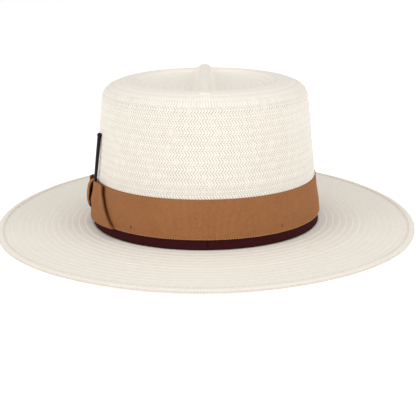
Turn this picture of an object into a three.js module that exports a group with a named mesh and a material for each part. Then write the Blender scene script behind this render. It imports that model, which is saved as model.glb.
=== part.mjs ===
import * as THREE from 'three';

// A straw hat with a telescope crown, resting on its own brim.
// Millimetres, +Z up. The front of the hat is +Y, the wearer's left is -X,
// and the origin is on the resting plane under the middle of the brim.

// Walls and clearances
const STRAW_WALL = 1.8;
const RIBBON_WALL = 1.0;
const SEAT_GAP = 0.3;

// Braid: pitch of one sewn row, and how far a row stands over the next one
const ROW_PITCH = 5.0;
const ROW_STEP = 0.45;
const ROW_LAP = 0.3;

// Crown: the first braid row above the ribbon, and the number of rows on its side.
// The next row, round the shoulder, is the first one of the tip.
const CROWN_ROW_START = 42.3;
const CROWN_SIDE_ROWS = 11;

// The crown leans towards the front by this much for each millimetre of height
const CROWN_LEAN = 0.044;

// Outer face of the crown, from the brim up to the shoulder and onto the rim.
// height: mean height of the ring, halfWidth and halfLength: its half axes along X and Y,
// backRise: how far its back end lies above the mean, sideRise: how far its sides do.
const CROWN_PROFILE = [
  { height: 5.2, halfWidth: 84.8, halfLength: 101.1, backRise: 2.4, sideRise: -1.0 },
  { height: 42.0, halfWidth: 83.0, halfLength: 98.6, backRise: 3.1, sideRise: -0.7 },
  { height: 60.7, halfWidth: 81.1, halfLength: 96.8, backRise: 3.5, sideRise: -0.45 },
  { height: 80.0, halfWidth: 79.5, halfLength: 95.0, backRise: 3.9, sideRise: -0.2 },
  { height: 98.0, halfWidth: 77.9, halfLength: 93.2, backRise: 4.1, sideRise: 0 },
  { height: 102.6, halfWidth: 76.6, halfLength: 91.8, backRise: 4.05, sideRise: 0 },
  { height: 106.6, halfWidth: 72.4, halfLength: 87.4, backRise: 3.85, sideRise: 0 },
  { height: 109.4, halfWidth: 65.0, halfLength: 80.0, backRise: 3.5, sideRise: 0 },
  { height: 110.5, halfWidth: 56.3, halfLength: 71.4, backRise: 3.1, sideRise: 0 },
];
const SEAT = CROWN_PROFILE[0];
const CROWN_TIP_ROW = 5;
const CROWN_SHOULDER_ROW = 6;
const CROWN_RIM_ROW = 8;

// The dent, from inside the rim to the ridge's foot and its top edge, with the same columns
const DENT_PROFILE = [
  { height: 109.6, halfWidth: 52.8, halfLength: 67.8, backRise: 2.9, sideRise: 0 },
  { height: 106.6, halfWidth: 49.2, halfLength: 64.0, backRise: 2.7, sideRise: 0 },
  { height: 105.2, halfWidth: 42.0, halfLength: 56.5, backRise: 2.4, sideRise: 0 },
  { height: 104.0, halfWidth: 27.0, halfLength: 44.0, backRise: 1.9, sideRise: 0 },
  { height: 103.5, halfWidth: 13.0, halfLength: 36.0, backRise: 1.5, sideRise: 0 },
  { height: 103.4, halfWidth: 6.2, halfLength: 32.0, backRise: 1.3, sideRise: 0 },
  { height: 103.4, halfWidth: 2.8, halfLength: 30.0, backRise: 1.2, sideRise: 0 },
];

// Ridge along the middle of the crown's top
const RIDGE_TOP = 112.1;
const RIDGE_BACK_SLOPE = 0.027;
const RIDGE_HALF_TOP = 2.8;
const RIDGE_HALF_FOOT = 6.2;
const RIDGE_FLANK_SLOPE = 2.5;
const RIDGE_ENTRY_SLOPE = 2;
const RIDGE_OVER_RIM = 2.8;
const RIDGE_FADE_START = 71;
const RIDGE_FADE_END = 94;

// Brim
const BRIM_WIDTH = 73.9;
const BRIM_WALL = 2.0;
const BRIM_HEM = 2.4;
const BRIM_HEM_WIDTH = 5.5;
const BRIM_ROWS = 13;
const BRIM_ROW_START = 3.4;
const BRIM_SWEEP = 1.8;
const BRIM_FLAT = 7.5;
const BRIM_BACK_LIFT = 3.2;
const BRIM_FRONT_LIFT = 1.4;
const BRIM_LIFT_START = 0.35;
const BRIM_EDGE_ROUND = 0.8;

// Ribbons: heights of their edges on the crown
const UNDER_BAND_BOTTOM = 5.6;
const UNDER_BAND_TOP = 18.5;
const HAT_BAND_BOTTOM = 12.75;
const HAT_BAND_STEP = 19.0;
const HAT_BAND_SETTLED = 31.0;
const HAT_BAND_TOP = 39.7;

// Bow at the wearer's left. Angles are in degrees: the bow's middle is measured from the left
// side towards the back, and all others from the bow's middle.
const BOW_ANGLE = 13.5;
const WING_ROOT_ANGLE = 5.1;
const WING_END_LIFT = 1.2;
const WING_STEPS = 8;

// One row for each line of the wing's mesh, from its lower edge to its upper one.
// The tips make the slanted free edge.
const WING_ROWS = [
  { rootHeight: 9.0, tipHeight: 13.0, tipAngle: 28.1 },
  { rootHeight: 12.4, tipHeight: 15.6, tipAngle: 25.6 },
  { rootHeight: 18.0, tipHeight: 21.0, tipAngle: 22.2 },
  { rootHeight: 25.0, tipHeight: 27.0, tipAngle: 18.9 },
  { rootHeight: 32.0, tipHeight: 33.8, tipAngle: 16.2 },
  { rootHeight: 38.6, tipHeight: 39.2, tipAngle: 16.0 },
];

// One row for each line across the knot's outer face, from its lower end to its upper one.
// standOff: distance from the ribbon's outer face, halfAngle: half of the knot's width.
const KNOT_ROWS = [
  { height: 18.6, standOff: 0.9, halfAngle: 2.4 },
  { height: 19.2, standOff: 2.1, halfAngle: 3.2 },
  { height: 20.7, standOff: 3.2, halfAngle: 4.2 },
  { height: 23.5, standOff: 4.2, halfAngle: 5.4 },
  { height: 27.0, standOff: 4.9, halfAngle: 6.0 },
  { height: 32.0, standOff: 4.9, halfAngle: 5.8 },
  { height: 36.0, standOff: 4.1, halfAngle: 4.0 },
  { height: 38.6, standOff: 2.6, halfAngle: 2.7 },
  { height: 39.6, standOff: 0.9, halfAngle: 2.4 },
];
const KNOT_STEPS = 4;

// Stick: the middle of its head and of its lower end, and its radii
const STICK_HEAD = new THREE.Vector3(-77.9, -27.6, 74.2);
const STICK_END = new THREE.Vector3(-83.0, -30.0, 29.0);
const STICK_HEAD_RADIUS = 1.8;
const STICK_NECK_RADIUS = 1.3;
const STICK_END_RADIUS = 0.9;
const STICK_HEAD_STEPS = 6;
const STICK_SIDES = 12;

// Angles round the head oval, in degrees: even steps over most of each quarter, then two
// lines on the flank and the edge of the ridge
const QUARTER_STEPS = 10;
const RIDGE_LINES = [84.6, 87.3];

const COLOURS = {
  straw: { color: '#efe6d7', roughness: 0.75 },
  camel: { color: '#9c6a42', roughness: 0.8 },
  burgundy: { color: '#3f1418', roughness: 0.85 },
  black: { color: '#17130f', roughness: 0.45 },
};

const { clamp, lerp, smoothstep, degToRad } = THREE.MathUtils;

function ovalAngles() {
  const quarter = [];
  for (let i = 0; i < QUARTER_STEPS; i += 1) {
    quarter.push((i * RIDGE_LINES[0]) / QUARTER_STEPS);
  }
  quarter.push(...RIDGE_LINES);
  const mirrored = quarter.slice(1).reverse().map((angle) => 180 - angle);
  const half = [...quarter, 90, ...mirrored];
  return [...half, ...half.map((angle) => angle + 180)].map(degToRad);
}

const ANGLES = ovalAngles();

// Ring of the crown's wall at any height, between the rows of its table
function wallRing(height, outward = 0) {
  let i = 0;
  while (i < CROWN_RIM_ROW && CROWN_PROFILE[i + 1].height < height) {
    i += 1;
  }
  const low = CROWN_PROFILE[i];
  const high = CROWN_PROFILE[i + 1];
  const part = (height - low.height) / (high.height - low.height);
  const ring = {};
  for (const column of Object.keys(low)) {
    ring[column] = lerp(low[column], high[column], part);
  }
  return grown(ring, outward);
}

function grown(ring, outward) {
  return {
    ...ring,
    halfWidth: ring.halfWidth + outward,
    halfLength: ring.halfLength + outward,
  };
}

function ringPoint(ring, angle) {
  const sine = Math.sin(angle);
  const x = ring.halfWidth * Math.cos(angle);
  const y = ring.halfLength * sine + CROWN_LEAN * (ring.height - SEAT.height);
  const z = ring.height - ring.backRise * sine + ring.sideRise * Math.cos(2 * angle);
  return new THREE.Vector3(x, y, z);
}

// Height that the ridge adds at a point of the crown's top. Inside, it is a wall lower
// and a wall narrower on either side.
function ridgeRise(point, wall) {
  if (Math.abs(point.x) >= RIDGE_HALF_FOOT) {
    return 0;
  }
  const along = point.y - CROWN_LEAN * (RIDGE_TOP - SEAT.height);
  const reach = Math.abs(along);
  const level = RIDGE_TOP - wall - RIDGE_BACK_SLOPE * along;
  const fade = 1 - smoothstep(reach, RIDGE_FADE_START, RIDGE_FADE_END);
  const inside = Math.max(0, RIDGE_FADE_START - reach);
  const limit = RIDGE_OVER_RIM * fade + RIDGE_ENTRY_SLOPE * inside;
  const flank = RIDGE_FLANK_SLOPE * Math.max(0, Math.abs(point.x) + wall - RIDGE_HALF_TOP);
  return Math.max(0, Math.min(level - point.z, limit) - flank);
}

function crownPoint(ring, angle, wall = 0) {
  const point = ringPoint(ring, angle);
  point.z += ridgeRise(point, wall);
  return point;
}

// In the dent the two lines next to the middle of back and front run parallel to the ridge,
// along its foot and its top edge
function dentPoint(ring, angle, wall = 0) {
  const point = ringPoint(ring, angle);
  const cosine = Math.abs(Math.cos(angle));
  const [footCosine, edgeCosine] = RIDGE_LINES.map((line) => Math.cos(degToRad(line)));
  const foot = Math.min(RIDGE_HALF_FOOT - wall, ring.halfWidth);
  const edge = Math.min(RIDGE_HALF_TOP - wall, ring.halfWidth);
  let across = (edge * cosine) / edgeCosine;
  if (cosine > footCosine) {
    across = lerp(foot, ring.halfWidth, (cosine - footCosine) / (1 - footCosine));
  } else if (cosine > edgeCosine) {
    across = lerp(edge, foot, (cosine - edgeCosine) / (footCosine - edgeCosine));
  }
  point.x = Math.sign(point.x) * across;
  point.z += ridgeRise(point, wall);
  return point;
}

// Mesh of the triangles of an index list, with its faces turned outwards
function closedGeometry(points, index) {
  let volume = 0;
  for (let i = 0; i < index.length; i += 3) {
    const [a, b, c] = index.slice(i, i + 3).map((at) => points[at]);
    volume += a.dot(b.clone().cross(c));
  }
  const geometry = new THREE.BufferGeometry();
  geometry.setFromPoints(points);
  geometry.setIndex(volume < 0 ? index.reverse() : index);
  geometry.computeVertexNormals();
  return geometry;
}

function quad(index, a, b, c, d) {
  index.push(a, b, c, a, c, d);
}

// Quads between each ring of points and the next one
function joinRings(rings, index) {
  const count = rings[0].length;
  for (let r = 0; r < rings.length - 1; r += 1) {
    for (let i = 0; i < count; i += 1) {
      const j = (i + 1) % count;
      quad(index, r * count + i, r * count + j, (r + 1) * count + j, (r + 1) * count + i);
    }
  }
}

// Solid of rings that form a closed loop, like a ribbon or a brim
function loopSolid(rings) {
  const index = [];
  const count = rings[0].length;
  joinRings(rings, index);
  const last = (rings.length - 1) * count;
  for (let i = 0; i < count; i += 1) {
    const j = (i + 1) % count;
    quad(index, last + i, last + j, j, i);
  }
  return closedGeometry(rings.flat(), index);
}

// Solid of rings whose first and last one are narrow, and are closed straight across X
function cappedSolid(rings) {
  const index = [];
  const count = rings[0].length;
  joinRings(rings, index);
  closeAcross(index, count, (i) => i);
  const last = (rings.length - 1) * count;
  closeAcross(index, count, (i) => last + ((count - i) % count));
  return closedGeometry(rings.flat(), index);
}

// Triangles from each side of a ring to the mirrored point across X
function closeAcross(index, count, at) {
  const quarter = count / 4;
  for (let i = -quarter; i < quarter; i += 1) {
    const near = at((i + count) % count);
    const next = at((i + 1 + count) % count);
    const mirrorNear = at((count / 2 - i) % count);
    const mirrorNext = at((count / 2 - i - 1) % count);
    if (near !== mirrorNear) {
      index.push(near, mirrorNear, next);
    }
    if (next !== mirrorNext) {
      index.push(next, mirrorNear, mirrorNext);
    }
  }
}

// Wall between two grids of points of one size, closed along its four edges
function sheetSolid(outer, inner) {
  const rows = outer.length;
  const columns = outer[0].length;
  const index = [];
  const out = (r, c) => r * columns + c;
  const under = (r, c) => (rows + r) * columns + c;
  for (let r = 0; r < rows - 1; r += 1) {
    for (let c = 0; c < columns - 1; c += 1) {
      quad(index, out(r, c), out(r, c + 1), out(r + 1, c + 1), out(r + 1, c));
      quad(index, under(r, c), under(r + 1, c), under(r + 1, c + 1), under(r, c + 1));
    }
    quad(index, out(r, 0), out(r + 1, 0), under(r + 1, 0), under(r, 0));
    const end = columns - 1;
    quad(index, out(r, end), under(r, end), under(r + 1, end), out(r + 1, end));
  }
  for (let c = 0; c < columns - 1; c += 1) {
    const end = rows - 1;
    quad(index, out(0, c), under(0, c), under(0, c + 1), out(0, c + 1));
    quad(index, out(end, c), out(end, c + 1), under(end, c + 1), under(end, c));
  }
  return closedGeometry([...outer.flat(), ...inner.flat()], index);
}

function namedMesh(name, geometry, finish) {
  const material = new THREE.MeshStandardMaterial({ ...finish, metalness: 0 });
  const mesh = new THREE.Mesh(geometry, material);
  mesh.name = name;
  return mesh;
}

// Rings of the crown's inner face: each row of a profile moved square to it by the wall.
// The rows on the ridge move inwards, as its flanks are steep.
function liningOf(profile) {
  return profile.map((row, i) => {
    const before = profile[Math.max(i - 1, 0)];
    const after = profile[Math.min(i + 1, profile.length - 1)];
    const across = after.halfWidth - before.halfWidth;
    const up = after.height - before.height;
    const length = Math.hypot(across, up);
    const height = row.height + (STRAW_WALL * across) / length;
    const onRidge = row.halfWidth <= RIDGE_HALF_FOOT;
    return { ...grown(row, onRidge ? -STRAW_WALL : (-STRAW_WALL * up) / length), height };
  });
}

// The two rings of each braid row of the crown's wall, from one row up to the start of another
function braidRings(first, end) {
  const rings = [];
  for (let row = first; row < end; row += 1) {
    const start = CROWN_ROW_START + row * ROW_PITCH;
    rings.push(wallRing(start, ROW_STEP), wallRing(start + ROW_PITCH - ROW_LAP));
  }
  return rings;
}

// Side of the crown: a sleeve from the brim up to the tip
function makeCrownSide() {
  const seat = wallRing(SEAT.height + SEAT_GAP);
  const outside = [seat, wallRing(CROWN_ROW_START - ROW_LAP), ...braidRings(0, CROWN_SIDE_ROWS)];
  const between = CROWN_PROFILE.slice(1, CROWN_TIP_ROW - 1);
  const inside = [seat, ...between, outside.at(-1)].map((ring) => grown(ring, -STRAW_WALL));
  const rings = [...inside, ...outside.reverse()];
  const points = rings.map((ring) => ANGLES.map((angle) => ringPoint(ring, angle)));
  return namedMesh('crown_side', loopSolid(points), COLOURS.straw);
}

// Tip of the crown: shoulder, rim, dent and ridge
function makeCrownTip() {
  const edge = wallRing(CROWN_ROW_START + CROWN_SIDE_ROWS * ROW_PITCH, -STRAW_WALL);
  const shoulder = braidRings(CROWN_SIDE_ROWS, CROWN_SIDE_ROWS + 1);
  const outside = [...shoulder, ...CROWN_PROFILE.slice(CROWN_SHOULDER_ROW)];
  const lining = liningOf([...CROWN_PROFILE, ...DENT_PROFILE]);
  const inside = [edge, ...lining.slice(CROWN_TIP_ROW, CROWN_PROFILE.length)];
  const dentInside = lining.slice(CROWN_PROFILE.length);
  const around = (rings, pointAt, wall) => {
    return rings.map((ring) => ANGLES.map((angle) => pointAt(ring, angle, wall)));
  };
  const outer = [...around(outside, crownPoint), ...around(DENT_PROFILE, dentPoint)];
  const inner = [
    ...around(inside, crownPoint, STRAW_WALL),
    ...around(dentInside, dentPoint, STRAW_WALL),
  ];
  return namedMesh('crown_tip', cappedSolid([...outer.reverse(), ...inner]), COLOURS.straw);
}

// Height of the brim's outer edge: on the resting plane at the sides, lifted at back and front
function brimLift(angle) {
  const sine = Math.sin(angle);
  const endLift = sine < 0 ? BRIM_BACK_LIFT : BRIM_FRONT_LIFT;
  return endLift * smoothstep(Math.abs(sine), BRIM_LIFT_START, 1);
}

// Point of the brim at a distance outwards from the crown and a height above its underside
function brimPoint(outward, aboveUnderside, angle) {
  const ring = grown(SEAT, outward);
  const point = ringPoint(ring, angle);
  const sweep = Math.max(0, 1 - Math.max(0, outward) / (BRIM_WIDTH - BRIM_FLAT)) ** BRIM_SWEEP;
  point.z = lerp(brimLift(angle), point.z - BRIM_WALL, sweep) + aboveUnderside;
  return point;
}

function makeBrim() {
  const hemStart = BRIM_WIDTH - BRIM_HEM_WIDTH;
  const sections = [
    { outward: -STRAW_WALL, above: 0 },
    { outward: -STRAW_WALL, above: BRIM_WALL },
    { outward: BRIM_ROW_START, above: BRIM_WALL },
  ];
  for (let row = 0; row < BRIM_ROWS; row += 1) {
    const start = BRIM_ROW_START + row * ROW_PITCH;
    sections.push({ outward: start + ROW_LAP, above: BRIM_WALL - ROW_STEP });
    sections.push({ outward: start + ROW_PITCH, above: BRIM_WALL });
  }
  sections.push(
    { outward: hemStart, above: BRIM_WALL - ROW_STEP },
    { outward: hemStart + ROW_LAP, above: BRIM_HEM },
    { outward: BRIM_WIDTH - BRIM_EDGE_ROUND, above: BRIM_HEM },
    { outward: BRIM_WIDTH, above: BRIM_HEM - BRIM_EDGE_ROUND },
    { outward: BRIM_WIDTH, above: BRIM_EDGE_ROUND },
    { outward: BRIM_WIDTH - BRIM_EDGE_ROUND, above: 0 },
    { outward: BRIM_WIDTH - BRIM_FLAT, above: 0 },
    { outward: BRIM_WIDTH / 2, above: 0 },
    { outward: BRIM_WIDTH / 5, above: 0 },
  );
  const rings = sections.map(({ outward, above }) => {
    return ANGLES.map((angle) => brimPoint(outward, above, angle));
  });
  return namedMesh('brim', loopSolid(rings), COLOURS.straw);
}

// Inner face of the wide ribbon: it steps over the narrow one and settles on the wall above it
function hatBandInset(height) {
  const stepped = SEAT_GAP + RIBBON_WALL + SEAT_GAP;
  return lerp(stepped, SEAT_GAP, clamp((height - HAT_BAND_STEP) / (HAT_BAND_SETTLED - HAT_BAND_STEP), 0, 1));
}

function hatBandFace(height) {
  return hatBandInset(height) + RIBBON_WALL;
}

// Ribbon round the crown, through rows of a height and the distance of its inner face
function ribbonSolid(rows) {
  const inner = rows.map((row) => wallRing(row.height, row.inset));
  const outer = rows.map((row) => wallRing(row.height, row.inset + RIBBON_WALL));
  const rings = [...inner, ...outer.reverse()];
  return loopSolid(rings.map((ring) => ANGLES.map((angle) => ringPoint(ring, angle))));
}

function makeUnderBand() {
  const rows = [UNDER_BAND_BOTTOM, UNDER_BAND_TOP].map((height) => ({ height, inset: SEAT_GAP }));
  return namedMesh('under_band', ribbonSolid(rows), COLOURS.burgundy);
}

function makeHatBand() {
  const heights = [HAT_BAND_BOTTOM, HAT_BAND_STEP, HAT_BAND_SETTLED, HAT_BAND_TOP];
  const rows = heights.map((height) => ({ height, inset: hatBandInset(height) }));
  return namedMesh('hat_band', ribbonSolid(rows), COLOURS.camel);
}

// Point over the ribbon, at an angle in degrees from the bow's middle towards the back
function bowPoint(height, standOff, angle) {
  const turned = Math.PI + degToRad(BOW_ANGLE + angle);
  return ringPoint(wallRing(height, hatBandFace(height) + standOff), turned);
}

function makeWing(name, side) {
  const face = (wall) => WING_ROWS.map((row) => {
    const points = [];
    for (let step = 0; step <= WING_STEPS; step += 1) {
      const part = step / WING_STEPS;
      const height = lerp(row.rootHeight, row.tipHeight, part);
      const angle = side * lerp(WING_ROOT_ANGLE, row.tipAngle, part);
      points.push(bowPoint(height, SEAT_GAP + wall + WING_END_LIFT * part ** 2, angle));
    }
    return points;
  });
  return namedMesh(name, sheetSolid(face(RIBBON_WALL), face(0)), COLOURS.camel);
}

function makeKnot() {
  const outer = [];
  const inner = [];
  KNOT_ROWS.forEach((row, i) => {
    const before = KNOT_ROWS[Math.max(i - 1, 0)];
    const after = KNOT_ROWS[Math.min(i + 1, KNOT_ROWS.length - 1)];
    const up = after.height - before.height;
    const out = after.standOff - before.standOff;
    const length = Math.hypot(up, out);
    const innerHeight = row.height + (RIBBON_WALL * out) / length;
    const innerStandOff = row.standOff - (RIBBON_WALL * up) / length;
    const across = [];
    for (let step = 0; step <= KNOT_STEPS; step += 1) {
      across.push(lerp(-row.halfAngle, row.halfAngle, step / KNOT_STEPS));
    }
    outer.push(across.map((angle) => bowPoint(row.height, row.standOff, angle)));
    inner.push(across.map((angle) => bowPoint(innerHeight, innerStandOff, angle)));
  });
  return namedMesh('bow_knot', sheetSolid(outer, inner), COLOURS.camel);
}

// The stick is turned about its own axis, from its lower end up to the top of its round head
function makeStick() {
  const length = STICK_HEAD.distanceTo(STICK_END);
  const neckAngle = Math.asin(STICK_NECK_RADIUS / STICK_HEAD_RADIUS);
  const neck = length - STICK_HEAD_RADIUS * Math.cos(neckAngle);
  const profile = [
    new THREE.Vector2(0, 0),
    new THREE.Vector2(STICK_END_RADIUS, 0),
    new THREE.Vector2(STICK_NECK_RADIUS, neck),
  ];
  for (let step = 1; step < STICK_HEAD_STEPS; step += 1) {
    const angle = lerp(Math.PI - neckAngle, 0, step / STICK_HEAD_STEPS);
    const radius = STICK_HEAD_RADIUS * Math.sin(angle);
    profile.push(new THREE.Vector2(radius, length + STICK_HEAD_RADIUS * Math.cos(angle)));
  }
  profile.push(new THREE.Vector2(0, length + STICK_HEAD_RADIUS));
  const stick = namedMesh('trim_stick', new THREE.LatheGeometry(profile, STICK_SIDES), COLOURS.black);
  const direction = STICK_HEAD.clone().sub(STICK_END).normalize();
  stick.position.copy(STICK_END);
  stick.quaternion.setFromUnitVectors(new THREE.Vector3(0, 1, 0), direction);
  return stick;
}

const body = new THREE.Group();
body.add(makeBrim(), makeCrownSide(), makeCrownTip());

const ribbons = new THREE.Group();
ribbons.add(makeUnderBand(), makeHatBand());

const bow = new THREE.Group();
bow.add(makeWing('bow_wing_back', 1), makeWing('bow_wing_front', -1), makeKnot(), makeStick());

const hat = new THREE.Group();
hat.add(body, ribbons, bow);

export default hat;
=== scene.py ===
"""A straw hat with a telescope crown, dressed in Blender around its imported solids.

Tables and sizes are in millimetres and degrees, as measured, and are turned to metres where a
mesh is made. +Z is up, the front of the hat is +Y, and the wearer's left is -X.
"""

import logging
import math
from dataclasses import dataclass
from enum import Enum
from typing import Any, NamedTuple, Sequence

import bmesh
import bpy
import numpy as np
from mathutils import Matrix, Vector


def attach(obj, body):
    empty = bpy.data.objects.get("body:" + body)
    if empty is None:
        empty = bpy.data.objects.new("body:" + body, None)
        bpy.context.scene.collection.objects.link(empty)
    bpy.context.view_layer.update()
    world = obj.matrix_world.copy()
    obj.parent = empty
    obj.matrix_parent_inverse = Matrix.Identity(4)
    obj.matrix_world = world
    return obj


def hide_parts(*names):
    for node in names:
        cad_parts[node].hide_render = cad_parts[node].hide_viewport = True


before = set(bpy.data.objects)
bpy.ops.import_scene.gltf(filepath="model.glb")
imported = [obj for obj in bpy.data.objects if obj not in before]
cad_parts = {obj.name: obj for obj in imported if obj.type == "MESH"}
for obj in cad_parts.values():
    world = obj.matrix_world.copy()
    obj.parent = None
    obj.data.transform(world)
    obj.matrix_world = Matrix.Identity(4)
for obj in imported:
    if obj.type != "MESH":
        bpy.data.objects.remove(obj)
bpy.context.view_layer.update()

LOG = logging.getLogger("straw_hat")
Array = np.ndarray
Piece = bpy.types.Object
MM = 0.001
MOST_ROWS = 64
BODY = "root"
UV_NAME = "weave"
# Name of the mesh attribute that holds painted shade, deep between strands and where a line lies in
# shadow
GAP_SHADE_NAME = "gap"


# Sizes that the whole hat shares

STRAW_WALL = 1.8
SEAT_GAP = 0.3
ROW_PITCH = 5.0
CROWN_LEAN = 0.044
CROWN_ROW_START = 42.3
CROWN_SIDE_ROWS = 11


class Oval(NamedTuple):
    """One ring of the hat: its mean height and half axes, and how far its back and sides rise."""

    height: float
    half_width: float
    half_length: float
    back_rise: float
    side_rise: float


CROWN_OVALS = (
    Oval(5.2, 84.8, 101.1, 2.4, -1.0),
    Oval(42.0, 83.0, 98.6, 3.1, -0.7),
    Oval(60.7, 81.1, 96.8, 3.5, -0.45),
    Oval(80.0, 79.5, 95.0, 3.9, -0.2),
    Oval(98.0, 77.9, 93.2, 4.1, 0.0),
    Oval(102.6, 76.6, 91.8, 4.05, 0.0),
    Oval(106.6, 72.4, 87.4, 3.85, 0.0),
    Oval(109.4, 65.0, 80.0, 3.5, 0.0),
    Oval(110.5, 56.3, 71.4, 3.1, 0.0),
)
DENT_OVALS = (
    Oval(109.6, 52.8, 67.8, 2.9, 0.0),
    Oval(106.6, 49.2, 64.0, 2.7, 0.0),
    Oval(105.2, 42.0, 56.5, 2.4, 0.0),
    Oval(104.0, 27.0, 44.0, 1.9, 0.0),
    Oval(103.5, 13.0, 36.0, 1.5, 0.0),
    Oval(103.4, 6.2, 32.0, 1.3, 0.0),
    Oval(103.4, 2.8, 30.0, 1.2, 0.0),
    Oval(103.4, 0.0, 28.0, 1.1, 0.0),
)
SEAT = CROWN_OVALS[0]

# Ridge along the middle of the crown's top, whose last two rows say which lines of the mesh run
# beside it, in degrees, and between which distances past the rim they come to do so
RIDGE_TOP = 112.1
RIDGE_BACK_SLOPE = 0.027
RIDGE_HALF_TOP = 1.6
RIDGE_HALF_EDGE = 2.8
RIDGE_HALF_FOOT = 6.6
RIDGE_ENTRY_SLOPE = 2.0
RIDGE_OVER_RIM = 2.8
RIDGE_FADE = (71.0, 94.0)
RIDGE_LINES = (84.6, 87.3)
RIDGE_LINES_FROM = (-10.0, 4.0)

# Brim
BRIM_WIDTH = 73.9
BRIM_WALL = 2.0
BRIM_HEM = 2.4
BRIM_HEM_WIDTH = 5.5
BRIM_ROW_START = 3.4
BRIM_ROWS = 13
BRIM_INNER_ROWS = 6
BRIM_SWEEP = 1.8
BRIM_FLAT = 7.5
BRIM_BACK_LIFT = 3.2
BRIM_FRONT_LIFT = 1.4
BRIM_LIFT_START = 0.35

# Ribbons: heights of their edges on the crown, and how the wide one steps over the narrow one
UNDER_BAND_EDGES = (5.6, 18.5)
HAT_BAND_EDGES = (12.75, 39.7)
HAT_BAND_STEP = (19.0, 31.0)
RIBBON_WALL = 1.0
RIBBON_CLOTH = 0.55
RIB_PITCH = 0.9

# Beside a join a narrow strip of the mesh keeps the surface's shading flat
JOIN_STRIP = 0.08

# Bow: its middle, from the left side towards the back
BOW_ANGLE = 13.5


def blend(start: Any, end: Any, share: Any) -> Any:
    """The value a share of the way from start to end."""
    return start + (end - start) * share


def soft_step(value: Any, low: float, high: float) -> Any:
    """0 below low and 1 above high, with a smooth rise between them."""
    part = np.clip((np.asarray(value, float) - low) / (high - low), 0.0, 1.0)
    return part * part * (3.0 - 2.0 * part)


class SmoothTable:
    """A table whose rows are joined by a line with rounded corners."""

    SAMPLE = 0.1

    def __init__(
        self, places: Sequence[float], rows: Sequence[Sequence[float]], softness: float
    ) -> None:
        """Rounds the table's corners.

        Args:
            places: Where along the line each row lies, rising.
            rows: The rows, one number for each column.
            softness: Length of line over which a corner is rounded.
        """
        places = np.asarray(places, float)
        rows = np.asarray(rows, float)
        reach = softness / 2 + self.SAMPLE
        before = rows[0] - (rows[1] - rows[0]) * reach / (places[1] - places[0])
        after = rows[-1] + (rows[-1] - rows[-2]) * reach / (places[-1] - places[-2])
        ends = np.concatenate([[places[0] - reach], places, [places[-1] + reach]])
        values = np.vstack([before, rows, after])
        half = max(int(round(softness / 2 / self.SAMPLE)), 1)
        window = np.hanning(2 * half + 3)[1:-1]
        window /= window.sum()
        count = int(math.ceil((places[-1] - places[0]) / self.SAMPLE)) + 1
        self._places = np.linspace(places[0], places[-1], count)
        step = self._places[1] - self._places[0]
        wide = places[0] + step * np.arange(-half, count + half)
        self._columns = [
            np.convolve(np.interp(wide, ends, column), window, "valid") for column in values.T
        ]

    def at(self, place: Any) -> Array:
        """The row at a place, or at each of several places, with the columns last."""
        return np.stack([np.interp(place, self._places, column) for column in self._columns], -1)


def oval_points(ovals: Array, angles: Array) -> Array:
    """Points of ovals at angles.

    Args:
        ovals: Rows of Oval's columns, one for each angle.
        angles: Angles in radians, from the wearer's right side towards the front.

    Returns:
        Points in millimetres.
    """
    height, half_width, half_length, back_rise, side_rise = np.moveaxis(ovals, -1, 0)
    sine = np.sin(angles)
    x = half_width * np.cos(angles)
    y = half_length * sine + CROWN_LEAN * (height - SEAT.height)
    z = height - back_rise * sine + side_rise * np.cos(2 * angles)
    return np.stack([x, y, z], -1)


def grown(ovals: Array, outward: Any) -> Array:
    """Ovals with both half axes longer by a distance outwards.

    Args:
        ovals: Rows of Oval's columns.
        outward: The distance in millimetres.

    Returns:
        The longer ovals.
    """
    wider = np.array(ovals, float)
    wider[..., 1] += outward
    wider[..., 2] += outward
    return wider


def wall_ovals(heights: Any) -> Array:
    """Ovals of the crown's outer face at heights, straight between the rows of its table."""
    rows = np.array(CROWN_OVALS)
    return np.stack([np.interp(heights, rows[:, 0], column) for column in rows.T], -1)


class Face:
    """A face of the hat, as points by a distance across its rows and an angle round it."""

    towards = 1.0

    def points(self, across: Array, angles: Array) -> Array:
        """Points of the face in millimetres, for each distance and angle."""
        raise NotImplementedError

    def normals(self, across: Array, angles: Array) -> Array:
        """Directions square to the face, out of the material.

        Args:
            across: Distances across the rows.
            angles: Angles in radians.

        Returns:
            Unit vectors, or zero where the face has no direction.
        """
        turn, step = 1e-3, 0.05
        along = self.points(across, angles + turn) - self.points(across, angles - turn)
        over = self.points(across + step, angles) - self.points(across - step, angles)
        normals = np.cross(along, over)
        length = np.linalg.norm(normals, axis=-1, keepdims=True)
        return self.towards * normals / np.maximum(length, 1e-9)


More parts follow.
